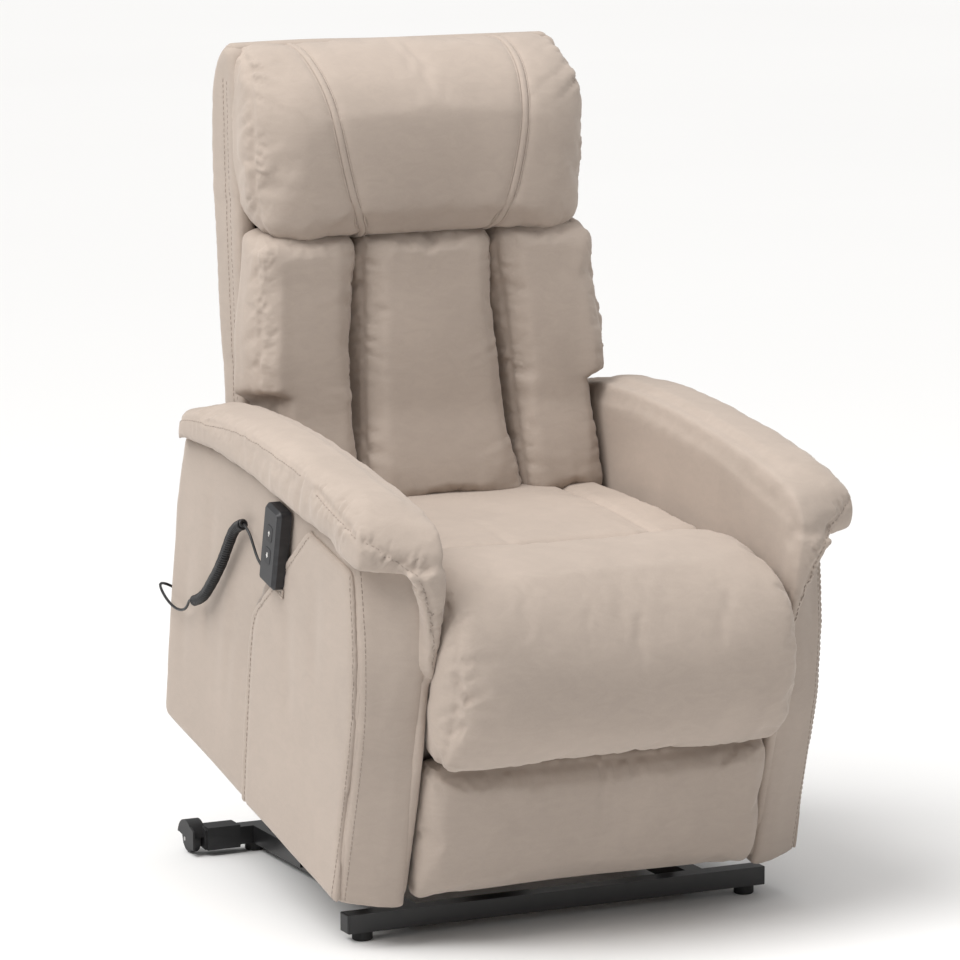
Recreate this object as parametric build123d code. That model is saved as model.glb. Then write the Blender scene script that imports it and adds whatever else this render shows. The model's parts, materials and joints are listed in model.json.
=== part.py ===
"""Lift recliner chair: a steel lift base, an upholstered body tilted part of the way up,
a backrest that reclines, a legrest that swings out and a handset on a curly cord.

World axes: X to the sitter's left-hand side when seen from the front (viewer's right),
-Y is the way the chair faces, +Z is up and z = 0 is the floor.  Millimetres.

The body (seat, arms, back, legrest) is drawn level in its own (x, u, v) axes, where u runs
from the front plane of the arm panels to the rear and v is the height above their lower
edge, and body() then stands it in the world at the tilt it rests at.
"""
from build123d import *
import math
import os

# ---------------------------------------------------------------- driving dimensions
TILT = 13.0                 # forward tilt of the body on the lift at rest, degrees
CORNER_Y, CORNER_Z = -293.6, 61.7   # world place of the body's lower front edge
SHIFT_Y = 44.67             # moves the middle of the whole chair to y = 0

BAR = 26.0                  # square tube of the base
BAR_WALL = 2.0
FOOT_H, FOOT_R = 12.0, 14.0
BASE_HALF = 315.0           # half length of the front bar
REAR_HALF = 300.0           # half length of the rear bar
FRONT_BAR_Y, REAR_BAR_Y = -250.5, 276.5     # bar centre lines
RAIL_X = 219.0              # centre of the side rails
CROSS_Y = 102.0             # centre of the rail that carries the actuator
WHEEL_R, WHEEL_W = 20.0, 14.0

ARM_OUT, ARM_IN = 345.0, 262.0      # outer and inner faces of an arm
PAD_OUT, PAD_IN = 370.0, 260.0      # the soft pad stands out past the arm
SEAT_HALF = 255.0           # half width of seat, legrest and back upholstery
BODY_LEN = 630.0            # length of an arm panel at its lower edge
SKIN = 12.0                 # padded cover over the wooden arm
PLATE_X, PLATE_T = 250.0, 4.0       # steel side plates of the mechanism
LINK_T = 4.0                # flat links of the legrest

LIFT_BASE = (120.0, 75.0)   # world (y, z) of the lift arm's pivot on the base
LIFT_SEAT = (90.0, 60.0)    # body (u, v) of its pivot on the side plate
LINK_BASE = (-120.5, 80.0)  # world (y, z) of the front link's pivot on the base
LINK_SEAT = (45.0, 60.0)    # body (u, v) of its open pivot on the side plate
ACT_BASE = (102.0, 55.0)    # world (y, z) of the actuator's rear pivot
ACT_SEAT = (111.0, 119.0)   # body (u, v) of the pin its rod pushes on
RECLINE = (610.0, 300.0)    # body (u, v) of the backrest hinge
LEG_POLE = (-85.0, 395.0)   # body (u, v) that the legrest turns about
SCISSOR_SEAT = (60.0, 190.0)    # body (u, v) of the legrest link on the side plate
SCISSOR_LEG = (40.0, 200.0)     # body (u, v) of the other link on the legrest
SCISSOR_KNEE = (166.3, 40.0)    # body (u, v) of the folded knee
PIN_R = 6.0
RUN = 0.05                  # radial running clearance of a pin in its hole

nodes = {}                  # node name -> list of solids
SIDES = (("left", -1), ("right", 1))


# ---------------------------------------------------------------- helpers
def body(shape):
    """Stand a shape drawn in the level body axes in the world."""
    return Pos(0, CORNER_Y, CORNER_Z) * Rot(TILT, 0, 0) * shape


def body_point(u, v):
    """World (y, z) of a body point."""
    t = math.radians(TILT)
    return (CORNER_Y + u * math.cos(t) - v * math.sin(t),
            CORNER_Z + u * math.sin(t) + v * math.cos(t))


def body_xyz(x, u, v):
    return Vector(x, *body_point(u, v))


def add(name, *shapes):
    """Put world solids into a node."""
    for shape in shapes:
        nodes.setdefault(name, []).extend(Pos(0, SHIFT_Y, 0) * s for s in shape.solids())


def slab(outline, x0, x1):
    """A closed (y, z) outline made solid between two x planes."""
    face = make_face(Polyline(*outline, close=True))
    return extrude(Plane.YZ.offset(min(x0, x1)) * face, amount=abs(x1 - x0))


def block(x0, x1, y0, y1, z0, z1):
    return Pos((x0 + x1) / 2, (y0 + y1) / 2, (z0 + z1) / 2) * Box(
        abs(x1 - x0), abs(y1 - y0), abs(z1 - z0))


def rod_x(radius, x0, x1, y, z):
    """A round bar along X."""
    return Pos((x0 + x1) / 2, y, z) * Rot(0, 90, 0) * Cylinder(radius, abs(x1 - x0))


def square_tube(length, along):
    """A square tube with open ends, centred on the origin along one axis."""
    outer, inner = (length, BAR, BAR), (length + 2, BAR - 2 * BAR_WALL, BAR - 2 * BAR_WALL)
    order = {"x": (0, 1, 2), "y": (1, 0, 2)}[along]
    return Box(*(outer[i] for i in order)) - Box(*(inner[i] for i in order))


def flat_link(ends, half_width, x0, x1, holes):
    """A flat bar with round ends at the (y, z) points and a hole at some of them."""
    shape = None
    for (ay, az), (by, bz) in zip(ends, ends[1:]):
        length = math.hypot(by - ay, bz - az)
        angle = math.degrees(math.atan2(bz - az, by - ay))
        bar = Pos((x0 + x1) / 2, (ay + by) / 2, (az + bz) / 2) * Rot(angle, 0, 0) * Box(
            abs(x1 - x0), length, 2 * half_width)
        shape = bar if shape is None else shape + bar
    for y, z in ends:
        shape += rod_x(half_width, x0, x1, y, z)
    for (y, z), radius in holes:
        shape -= rod_x(radius, min(x0, x1) - 1, max(x0, x1) + 1, y, z)
    return shape


# ---------------------------------------------------------------- base
def base():
    z = FOOT_H + BAR / 2
    add("base_front_bar", Pos(0, FRONT_BAR_Y, z) * square_tube(2 * BASE_HALF, "x"))
    add("base_rear_bar", Pos(0, REAR_BAR_Y, z) * square_tube(2 * REAR_HALF, "x"))
    rail_y0, rail_y1 = FRONT_BAR_Y + BAR / 2, REAR_BAR_Y - BAR / 2
    for _, s in SIDES:
        add("base_side_rails", Pos(s * RAIL_X, (rail_y0 + rail_y1) / 2, z)
            * square_tube(rail_y1 - rail_y0, "y"))
    add("base_cross_rail", Pos(0, CROSS_Y, z) * square_tube(2 * RAIL_X - BAR, "x"))
    top = FOOT_H + BAR
    ay, az = ACT_BASE
    for s in (-1, 1):
        ear = slab([(ay - 12, top), (ay + 12, top), (ay + 12, az), (ay + 8, az + 11),
                    (ay - 8, az + 11), (ay - 12, az)], s * 19, s * 24)
        add("base_cross_rail", ear - rod_x(PIN_R, s * 18, s * 25, ay, az))
    add("base_pins", rod_x(PIN_R, -28, 28, ay, az))

    for s in (-1, 1):
        end = s * BASE_HALF
        plug = block(end - s * 18, end, FRONT_BAR_Y - 11, FRONT_BAR_Y + 11, z - 11, z + 11)
        cover = block(end, end + s * 3, FRONT_BAR_Y - 13, FRONT_BAR_Y + 13, z - 13, z + 13)
        add("base_end_caps", plug + fillet(cover.faces().sort_by(Axis.X)[::s][-1].edges(), 2))
        for x, y in ((s * (BASE_HALF - 24), FRONT_BAR_Y), (s * (REAR_HALF - 75), REAR_BAR_Y)):
            foot = Pos(x, y, FOOT_H / 2) * Cylinder(FOOT_R, FOOT_H)
            add("base_feet", chamfer(foot.edges().sort_by(Axis.Z)[0], 1.5))

    by, bz = LIFT_BASE
    ly, lz = LINK_BASE
    for _, s in SIDES:
        x0, x1 = s * (RAIL_X + BAR / 2), s * (RAIL_X + BAR / 2 + 4)
        for y, h in ((by, bz), (ly, lz)):
            plate = slab([(y - 34, FOOT_H + 4), (y + 34, FOOT_H + 4), (y + 34, top),
                          (y + 15, h), (y + 8, h + 14), (y - 8, h + 14), (y - 15, h),
                          (y - 34, top)], x0, x1)
            add("base_pivot_brackets", plate - rod_x(PIN_R, x0 - s, x1 + s, y, h))
        add("base_pins", rod_x(PIN_R, x0, s * 249.0, by, bz),
            rod_x(PIN_R, x0, s * 241.5, ly, lz))


def wheels():
    """A plastic housing on each end of the rear bar with a small transport wheel."""
    z = FOOT_H + BAR / 2
    wy, wz = REAR_BAR_Y + 18, WHEEL_R + 1.5
    for name, s in SIDES:
        end = s * REAR_HALF
        sleeve = block(end - s * 46, end + s * 4, REAR_BAR_Y - 17, REAR_BAR_Y + 17,
                       FOOT_H - 3, z + 17)
        sleeve -= block(end - s * 60, end, REAR_BAR_Y - 13, REAR_BAR_Y + 13, z - 13, z + 13)
        hood = rod_x(WHEEL_R + 8, end + s * 4, end + s * 26, wy, wz)
        hood -= rod_x(WHEEL_R + 3, end + s * 3, end + s * 27, wy, wz)
        hood -= block(end - s, end + s * 30, wy - 60, wy + 60, wz - 60, wz + 6)
        cheeks = [slab([(wy - 31, wz - 12), (wy + 6, wz - 8), (wy + 10, wz + 4),
                        (wy + 27, wz + 7), (wy + 14, wz + 24), (wy - 16, wz + 22),
                        (wy - 31, wz + 16)], end + s * a, end + s * b)
                  for a, b in ((4, 7), (23, 26))]
        housing = sleeve + hood + cheeks[0] + cheeks[1]
        axle_hole = rod_x(3.0, end + s * 2, end + s * 28, wy, wz)
        add("wheel_brackets", housing - axle_hole)
        add("base_pins", rod_x(3.0, end + s * 4, end + s * 26.5, wy, wz))
        tyre = rod_x(WHEEL_R, end + s * 8, end + s * 22, wy, wz)
        tyre = fillet(tyre.edges(), 2.5) - rod_x(3.0 + RUN, end + s * 7, end + s * 23, wy, wz)
        add(f"wheel_{name}", tyre)


# ---------------------------------------------------------------- lift linkage
def lift():
    ay, az = LIFT_BASE
    by, bz = body_point(*LIFT_SEAT)
    tail = (ay + 42, az - 8)
    for _, s in SIDES:
        x0, x1 = s * 243.0, s * 248.0
        arm = flat_link([(by, bz), (ay, az), tail], 14, x0, x1,
                        [((ay, az), PIN_R + RUN), ((by, bz), PIN_R)])
        add("lift_arms", arm)
        add("lift_arms", rod_x(PIN_R, x0, s * (PLATE_X + PLATE_T), by, bz))
    add("lift_torque_tube", rod_x(11, -243, 243, *tail))

    ly, lz = LINK_BASE
    cy, cz = body_point(*LINK_SEAT)
    for _, s in SIDES:
        x0, x1 = s * 237.0, s * 241.0
        add("front_links", flat_link([(ly, lz), (cy, cz)], 12, x0, x1,
                                     [((ly, lz), PIN_R + RUN), ((cy, cz), PIN_R + 2.5)]))


def actuator():
    """Electric linear actuator: rear clevis on the base, rod pushing the body's cross tube."""
    ay, az = ACT_BASE
    ey, ez = body_point(*ACT_SEAT)
    length = math.hypot(ey - ay, ez - az)
    angle = math.degrees(math.atan2(ez - az, ey - ay))
    along = Pos(0, ay, az) * Rot(angle, 0, 0)       # +Y of this frame points at the seat pin

    def round_bar(radius, y0, y1, x=0.0):
        return Pos(x, (y0 + y1) / 2, 0) * Rot(90, 0, 0) * Cylinder(radius, y1 - y0)

    tail = Pos(0, 15.5, 0) * Box(36, 49, 24)
    tail = tail - rod_x(PIN_R + RUN, -20, 20, 0, 0)
    tube = round_bar(17, 40, 205) - round_bar(10.4, 60, 206)
    add("actuator_tube", along * (tail + tube))
    motor = Pos(50, 75, 0) * Rot(90, 0, 0) * Cylinder(26, 110)
    gearbox = Pos(32, 30, 0) * Box(28, 34, 40)
    add("actuator_motor", along * fillet(motor.edges(), 4), along * gearbox)
    rod = round_bar(10, 92, length - 14)
    eye = rod_x(18, -9, 9, length, 0) - rod_x(PIN_R + 5.5, -10, 10, length, 0)
    add("actuator_rod", along * (rod + eye))
    return angle


# ---------------------------------------------------------------- body frame and mechanism
def mechanism():
    for _, s in SIDES:
        x0, x1 = s * PLATE_X, s * (PLATE_X + PLATE_T)
        plate = slab([(25, 42), (105, 38), (140, 150), (560, 160), (642, 245), (642, 322),
                      (580, 322), (556, 240), (25, 240)], x0, x1)
        for (u, v), radius in ((LIFT_SEAT, PIN_R + RUN), (LINK_SEAT, PIN_R), (RECLINE, PIN_R),
                               (SCISSOR_SEAT, PIN_R)):
            plate -= rod_x(radius, x0 - s, x1 + s, u, v)
        add("side_plates", body(plate))
        add("body_pins", body(rod_x(PIN_R, s * 236.5, x1, *LINK_SEAT)),
            body(rod_x(PIN_R, s * 243.5, x1, *RECLINE)),
            body(rod_x(PIN_R, s * 221.5, x1, *SCISSOR_SEAT)))
        add("seat_rails", body(block(s * 226, s * 250, 46, 556, 222, 266)))
    add("seat_rails", body(block(-249, 249, 24, 46, 222, 268)),
        body(block(-249, 249, 556, 578, 222, 266)))
    tube_u, tube_v = 150.0, 192.0
    cross = rod_x(14, -PLATE_X, PLATE_X, tube_u, tube_v)
    for s in (-1, 1):
        ear = slab([(tube_u - 8, tube_v - 14), (tube_u + 10, tube_v - 14), (130, 106),
                    (98, 106), (98, 132)], s * 13, s * 18)
        ear -= rod_x(PIN_R, s * 12, s * 19, *ACT_SEAT)
        cross += ear
    add("motor_cross_tube", body(cross))
    add("body_pins", body(rod_x(PIN_R, -22, 22, *ACT_SEAT)))

    # zigzag seat springs, in the plane v = 271, clipped to the front and rear rails
    pitch, half, turns = 22.0, 22.0, 22
    for i in range(5):
        x = -170 + 85 * i
        points = [(x, 40, 271)]
        for k in range(turns):
            points.append((x + (half if k % 2 else -half), 52 + pitch * (k + 0.5), 271))
        points.append((x, 568, 271))
        path = FilletPolyline(*points, radius=7)
        wire = sweep(Plane(path @ 0, z_dir=path % 0) * Circle(1.9), path=path)
        add("seat_springs", body(wire))

    add("power_supply", body(fillet(block(95, 185, 440, 552, 166, 206).edges(), 4)))
    add("rear_panel", body(block(-258, 258, 643, 653, 6, 250)))
    inlet = block(130, 175, 653, 661, 96, 126)
    inlet -= block(137, 168, 656, 663, 102, 120)
    add("power_inlet", body(inlet))


# ---------------------------------------------------------------- arms
ARM_FRONT = [(0, 0), (-6, 120), (-10, 245), (4, 345), (34, 440), (52, 480)]
PAD_SEAM = [(52, 480), (73, 487), (229, 480), (377, 471), (492, 459), (640, 425)]
ARM_REAR = [(640, 425), (653, 320), (650, 229), (644, 123), (BODY_LEN, 0)]


def arms():
    outline = ARM_FRONT + PAD_SEAM[1:] + ARM_REAR[1:]
    for name, s in SIDES:
        add(f"arm_outer_{name}", body(slab(outline, s * (ARM_OUT - SKIN), s * ARM_OUT)))
        board = [(30, 12), (24, 240), (40, 345), (75, 465), (229, 462), (377, 453),
                 (492, 441), (622, 410), (634, 320), (626, 123), (612, 12)]
        add("arm_boards", body(slab(board, s * 298, s * 313)))
        inner = [(22, 12), (22, 470), (229, 470), (377, 461), (492, 449), (626, 412),
                 (636, 320), (626, 12)]
        add("arm_inners", body(slab(inner, s * ARM_IN, s * (ARM_IN + SKIN))))

        plan = Polyline((s * 333, 4), (s * 333, 20), (s * ARM_IN, 20), (s * ARM_IN, -30),
                        close=True)
        post = extrude(make_face(plan), amount=470)
        lean = slab([(-40, -1), (-42, 240), (-30, 345), (10, 471), (60, 471), (60, -1)],
                    s * 250, s * 340)
        add("arm_fronts", body(post & lean))

        pad = slab([(45, 472), (52, 480), (73, 487), (229, 480), (377, 471), (492, 459),
                    (640, 425), (676, 418), (694, 440), (664, 458), (567, 499), (445, 526),
                    (343, 541), (226, 553), (56, 561), (0, 561), (-40, 546), (-52, 520),
                    (-45, 472)], s * PAD_IN, s * PAD_OUT)
        tongue = slab([(-34, 350), (-50, 352), (-56, 430), (-50, 480), (-34, 480)],
                      s * PAD_IN, s * 290)
        add(f"arm_pad_{name}", body(pad + tongue))
        pocket = [(-4, 2), (327, 2), (334, 77), (342, 148), (349, 231), (344, 282),
                  (192, 463), (50, 463), (34, 430), (6, 345), (-6, 245)]
        add("side_pockets", body(slab(pocket, s * ARM_OUT, s * (ARM_OUT + 4))))


# ---------------------------------------------------------------- seat and legrest
def seat():
    add("seat_cushion", body(slab([(160, 424), (548, 343), (566, 300), (566, 276),
                                   (160, 276)], -SEAT_HALF, SEAT_HALF)))
    add("seat_front_roll", body(slab(
        [(157, 426), (110, 444), (60, 452), (-20, 450), (-65, 440), (-97, 416), (-88, 400),
         (4, 296), (28, 278), (157, 278)], -SEAT_HALF, SEAT_HALF)))


def legrest():
    add("legrest_board", body(block(-248, 248, 0, 15, 20, 280)))
    add("legrest_pad_upper", body(slab(
        [(-1, 290), (-88, 390), (-110, 350), (-118, 320), (-110, 262), (-76, 224),
         (-42, 211), (-1, 211)], -SEAT_HALF, SEAT_HALF)))
    add("legrest_pad_lower", body(slab(
        [(-1, 209), (-42, 209), (-58, 170), (-60, 100), (-54, 40), (-38, 12), (-1, 12)],
        -SEAT_HALF, SEAT_HALF)))
    for _, s in SIDES:
        bracket = slab([(15, 110), (30, 110), (50, 180), (50, 207), (15, 209)],
                       s * 227, s * 230)
        add("legrest_brackets", body(bracket - rod_x(PIN_R, s * 226, s * 231, *SCISSOR_LEG)))
        add("legrest_brackets", body(rod_x(PIN_R, s * 215.5, s * 230, *SCISSOR_LEG)))
        add("legrest_links_rear", body(flat_link(
            [SCISSOR_SEAT, SCISSOR_KNEE], 12, s * 222, s * (222 + LINK_T),
            [(SCISSOR_SEAT, PIN_R + RUN)])), body(rod_x(3, s * 215.5, s * 222, *SCISSOR_KNEE)))
        add("legrest_links_front", body(flat_link(
            [SCISSOR_LEG, SCISSOR_KNEE], 16, s * 216, s * (216 + LINK_T),
            [(SCISSOR_LEG, PIN_R + RUN), (SCISSOR_KNEE, 12)])))


# ---------------------------------------------------------------- backrest
CUSHION_FRONT = [(480, 366), (500, 404), (540, 474), (574, 562), (606, 644), (622, 692)]
CUSHION_REAR = [(600, 352), (645, 464), (678, 572), (714, 694)]
BACK_REAR = [(672, 306), (706, 356), (740, 430), (789, 535), (837, 640), (870, 719),
             (888, 833), (880, 905), (856, 931), (830, 940)]
UPRIGHT_FOOT, UPRIGHT_HEAD = (668, 352), (814, 866)


def backrest():
    (fu, fv), (hu, hv) = UPRIGHT_FOOT, UPRIGHT_HEAD
    length = math.hypot(hu - fu, hv - fv)
    lean = math.degrees(math.atan2(hv - fv, hu - fu))
    along = Pos(0, fu, fv) * Rot(lean, 0, 0)        # +Y of this frame runs up the back
    for _, s in SIDES:
        add("back_uprights", body(along * block(s * 221, s * 243, 0, length, -18, 18)))
        bracket = slab([(598, 288), (622, 284), (700, 380), (728, 470), (690, 480),
                        (655, 388), (596, 312)], s * 244, s * 248)
        bracket -= rod_x(PIN_R + RUN, s * 243, s * 249, *RECLINE)
        add("back_brackets", body(bracket))
    for y0, y1 in ((6, 46), (length - 50, length - 10)):
        add("back_cross_rails", body(along * block(-221, 221, y0, y1, -10, 10)))
    for i in range(5):
        y = 90 + 85 * i
        add("back_webbing", body(along * block(-232, 232, y, y + 50, 18, 20.5)))

    inner = [(u - 10, v - 2) for u, v in BACK_REAR]
    add("back_rear_cover", body(slab(BACK_REAR + inner[::-1], -246, 246)))
    gusset = [(654, 466), (689, 574), (724, 696), (752, 742), (778, 825), (801, 900),
              (838, 928), (868, 905), (876, 833), (858, 719), (825, 640), (777, 535),
              (728, 430), (694, 356), (650, 372)]
    for _, s in SIDES:
        add("back_gussets", body(slab(gusset, s * 249, s * 256)))

    outline = CUSHION_FRONT + CUSHION_REAR[::-1]
    add("back_cushion_left", body(slab(outline, -248, -108)))
    add("back_cushion_center", body(slab(outline, -105, 105)))
    add("back_cushion_right", body(slab(outline, 108, 248)))
    add("head_cushion", body(slab(
        [(624, 700), (640, 760), (655, 835), (674, 885), (706, 922), (768, 942), (812, 939),
         (800, 902), (776, 828), (752, 745), (718, 700)], -248, 248)))


# ---------------------------------------------------------------- handset
HAND_U0, HAND_U1 = 246.0, 296.0     # handset across its width
HAND_V0, HAND_V1 = 352.0, 466.0     # and along its length
HAND_X = -(ARM_OUT + 4.5)           # its back lies on the side pocket's plane
HAND_T = 20.0


def handset():
    seam = HAND_X - 9.0
    front = HAND_X - HAND_T
    rear_half = block(HAND_X, seam, HAND_U0, HAND_U1, HAND_V0, HAND_V1)
    front_half = block(seam, front, HAND_U0, HAND_U1, HAND_V0, HAND_V1)
    rear_half = fillet(rear_half.edges().filter_by(Axis.X), 9)
    front_half = fillet(front_half.edges().filter_by(Axis.X), 9)
    front_half = chamfer(front_half.faces().sort_by(Axis.X)[0].edges(), 5)
    mid = (HAND_U0 + HAND_U1) / 2
    for name, v in (("up", 428.0), ("down", 396.0)):
        well = Pos(front + 3.0, mid, v) * Box(6.02, 20.0, 24.0)
        key = Pos(front + 2.2, mid, v) * Box(5.2, 19.2, 23.2)
        front_half -= fillet(well.edges().filter_by(Axis.X), 6)
        add(f"handset_button_{name}", body(fillet(key.edges().filter_by(Axis.X), 5.6)))
    add("handset_rear_shell", body(rear_half))
    add("handset_front_shell", body(front_half))


# ---------------------------------------------------------------- handset cord
LEAD_R, CURL_R = 2.0, 8.0
CORD_HAND = [(-356.0, 307.5, 360.0), (-356.5, 327.0, 363.0), (-357.5, 343.0, 377.0),
             (-359.0, 358.0, 392.0), (-360.0, 378.0, 397.0)]
CORD_CURL = [(-360.0, 378.0, 397.0), (-361.0, 402.0, 385.0), (-361.0, 420.0, 352.0),
             (-361.0, 440.0, 310.0), (-361.5, 466.0, 272.0), (-361.5, 492.0, 238.0),
             (-361.0, 524.0, 221.0)]
CORD_CHAIR = [(-361.0, 524.0, 221.0), (-360.5, 540.0, 216.0), (-358.0, 549.0, 203.0),
              (-358.0, 562.0, 190.0), (-358.0, 588.0, 181.0), (-358.5, 618.0, 180.0),
              (-357.0, 648.0, 184.0), (-352.0, 670.0, 187.0), (-333.0, 681.0, 178.0),
              (-312.0, 672.0, 166.0), (-300.0, 657.0, 162.0)]


def corner_radii(points):
    """0.45 of the shorter run over the tangent of half the turn, for each corner."""
    radii = []
    for a, b, c in zip(points, points[1:], points[2:]):
        before, after = Vector(*b) - Vector(*a), Vector(*c) - Vector(*b)
        turn = math.radians(before.get_angle(after))
        radii.append(0.45 * min(before.length, after.length) / math.tan(turn / 2))
    return radii


def tube(name, points, radius):
    radii = corner_radii(points)
    path = FilletPolyline(*points, radius=radii)
    swept = sweep(Plane(path @ 0, z_dir=path % 0) * Circle(radius), path=path)
    expected = math.pi * radius ** 2 * path.length
    print(f"{name}: length {path.length:.0f} mm, volume ratio "
          f"{swept.volume / expected:.3f}, radii {[round(r) for r in radii]}")
    add(name, swept)
    return path


def cord():
    tube("cord_lead_handset", [body_xyz(*p) for p in CORD_HAND], LEAD_R)
    tube("cord_curl", [body_xyz(*p) for p in CORD_CURL], CURL_R)
    tube("cord_lead_chair", [body_xyz(*p) for p in CORD_CHAIR], LEAD_R)
    relief = Pos(-356.0, 301.5, 359.0) * Rot(-90 + 8, 0, 0) * Cone(4.6, 2.9, 11)
    add("handset_strain_relief", body(relief))
    gland = Pos(-296.0, 653.0, 160.3) * Rot(90 + 20, 0, 38) * Cylinder(6.0, 9)
    add("cord_gland", body(gland))


# ---------------------------------------------------------------- build and write
base()
wheels()
lift()
actuator_angle = actuator()
mechanism()
arms()
seat()
legrest()
backrest()
handset()
cord()

CORD_NODES = {"cord_lead_handset", "cord_curl", "cord_lead_chair", "cord_gland"}
os.makedirs("parts", exist_ok=True)
low, high = [1e9] * 3, [-1e9] * 3
for name, solids in nodes.items():
    shape = solids[0] if len(solids) == 1 else Compound(children=solids)
    export_step(shape, f"parts/{name}.step")
    if name not in CORD_NODES:
        box = shape.bounding_box()
        low = [min(a, b) for a, b in zip(low, box.min)]
        high = [max(a, b) for a, b in zip(high, box.max)]
print(len(nodes), "nodes")
print("box", [round(c, 2) for c in low], [round(c, 2) for c in high])
print("middle", [round((a + b) / 2, 2) for a, b in zip(low, high)])
print("actuator angle", round(actuator_angle, 3))
for label, (y, z) in (("lift_base", LIFT_BASE), ("lift_seat", body_point(*LIFT_SEAT)),
                      ("link_base", LINK_BASE), ("act_base", ACT_BASE),
                      ("recline", body_point(*RECLINE)), ("leg_pole", body_point(*LEG_POLE)),
                      ("scissor_seat", body_point(*SCISSOR_SEAT)),
                      ("scissor_leg", body_point(*SCISSOR_LEG)),
                      ("wheel", (REAR_BAR_Y + 18, WHEEL_R + 1.5))):
    print(label, round(y + SHIFT_Y, 3), round(z, 3))
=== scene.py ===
import json
import math

import bmesh
import bpy
import numpy as np
from mathutils import Matrix, Vector
from mathutils import noise as lattice
from mathutils.bvhtree import BVHTree


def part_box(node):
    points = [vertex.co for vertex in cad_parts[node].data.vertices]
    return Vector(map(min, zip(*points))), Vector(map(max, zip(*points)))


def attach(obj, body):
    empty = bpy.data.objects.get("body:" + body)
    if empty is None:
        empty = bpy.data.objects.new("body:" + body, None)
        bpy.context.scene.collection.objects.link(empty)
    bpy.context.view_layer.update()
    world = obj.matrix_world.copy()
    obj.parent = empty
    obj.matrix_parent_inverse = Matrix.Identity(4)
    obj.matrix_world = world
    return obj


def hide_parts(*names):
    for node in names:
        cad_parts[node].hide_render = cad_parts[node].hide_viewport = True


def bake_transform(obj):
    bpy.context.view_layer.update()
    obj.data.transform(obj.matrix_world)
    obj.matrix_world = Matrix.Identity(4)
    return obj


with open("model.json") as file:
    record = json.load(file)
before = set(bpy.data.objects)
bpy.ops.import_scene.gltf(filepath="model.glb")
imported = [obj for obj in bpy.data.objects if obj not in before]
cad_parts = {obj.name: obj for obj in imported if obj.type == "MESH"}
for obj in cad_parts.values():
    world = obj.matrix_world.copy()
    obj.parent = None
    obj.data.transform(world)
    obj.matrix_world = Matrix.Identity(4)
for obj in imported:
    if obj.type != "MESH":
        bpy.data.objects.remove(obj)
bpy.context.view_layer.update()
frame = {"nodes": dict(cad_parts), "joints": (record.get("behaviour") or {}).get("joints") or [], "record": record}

MM = 0.001
CELL = 5.5         # voxel size of the padded pieces, mm
PANEL_CELL = 7.0   # of the stiffer upholstered panels
FINE_CELL = 6.0    # and of the panels whose edges show from close by
SIM_FRAMES = 16

# ------------------------------ the chair body's own frame
# x runs across the chair, u towards its back and v up its back, in millimetres.  The body
# leans forward on its lift, so two of its joints say where that frame lies.
JOINT_AT = {j["name"]: Vector(j["pos_m"]) for j in frame["joints"] if "pos_m" in j}
LIFT_UV = (90.0, 60.0)
RECLINE_UV = (610.0, 300.0)
span = JOINT_AT["recline"] - JOINT_AT["lift_tilt"]
LEAN = (math.atan2(span.z, span.y)
        - math.atan2(RECLINE_UV[1] - LIFT_UV[1], RECLINE_UV[0] - LIFT_UV[0]))
AXES = np.array([[1, 0, 0],
                 [0, math.cos(LEAN), math.sin(LEAN)],
                 [0, -math.sin(LEAN), math.cos(LEAN)]])
ORIGIN = np.array(JOINT_AT["lift_tilt"]) - MM * (LIFT_UV[0] * AXES[1] + LIFT_UV[1] * AXES[2])
BODY_MATRIX = Matrix.Translation(Vector(ORIGIN)) @ Matrix(AXES.T.tolist()).to_4x4()


def at(x, u, v):
    """World place, in metres, of a point given in the body's frame."""
    return Vector(ORIGIN + MM * (np.array([x, u, v]) @ AXES))


def in_scene(name, data):
    obj = bpy.data.objects.new(name, data)
    bpy.context.scene.collection.objects.link(obj)
    return obj


# ------------------------------ materials
def node_tree(name):
    material = bpy.data.materials.new(name)
    material.use_nodes = True
    tree = material.node_tree
    return material, tree, tree.nodes["Principled BSDF"]


def coordinates(tree, stretch=(1, 1, 1)):
    place = tree.nodes.new("ShaderNodeTexCoord")
    mapping = tree.nodes.new("ShaderNodeMapping")
    mapping.inputs["Scale"].default_value = stretch
    tree.links.new(place.outputs["Object"], mapping.inputs["Vector"])
    return mapping.outputs["Vector"]


def noise(tree, vector, scale, detail=3.0, rough=0.5, distortion=0.0):
    node = tree.nodes.new("ShaderNodeTexNoise")
    node.inputs["Scale"].default_value = scale
    node.inputs["Detail"].default_value = detail
    node.inputs["Roughness"].default_value = rough
    node.inputs["Distortion"].default_value = distortion
    tree.links.new(vector, node.inputs["Vector"])
    return node.outputs["Fac"]


def ramp(tree, value, stops):
    node = tree.nodes.new("ShaderNodeValToRGB")
    while len(node.color_ramp.elements) < len(stops):
        node.color_ramp.elements.new(0.5)
    for element, (place, colour) in zip(node.color_ramp.elements, stops):
        element.position = place
        element.color = (*colour, 1)
    tree.links.new(value, node.inputs["Fac"])
    return node.outputs["Color"]


def mixed(tree, first, second, amount):
    """amount of the second over the first, each an output or a number."""
    node = tree.nodes.new("ShaderNodeMix")
    node.inputs["Factor"].default_value = amount
    tree.links.new(first, node.inputs["A"])
    tree.links.new(second, node.inputs["B"])
    return node.outputs["Result"]


def roughened(tree, shader, value, low, high):
    """Roughness that follows a texture between two values."""
    node = tree.nodes.new("ShaderNodeMapRange")
    node.inputs["To Min"].default_value = low
    node.inputs["To Max"].default_value = high
    tree.links.new(value, node.inputs["Value"])
    tree.links.new(node.outputs["Result"], shader.inputs["Roughness"])


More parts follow.
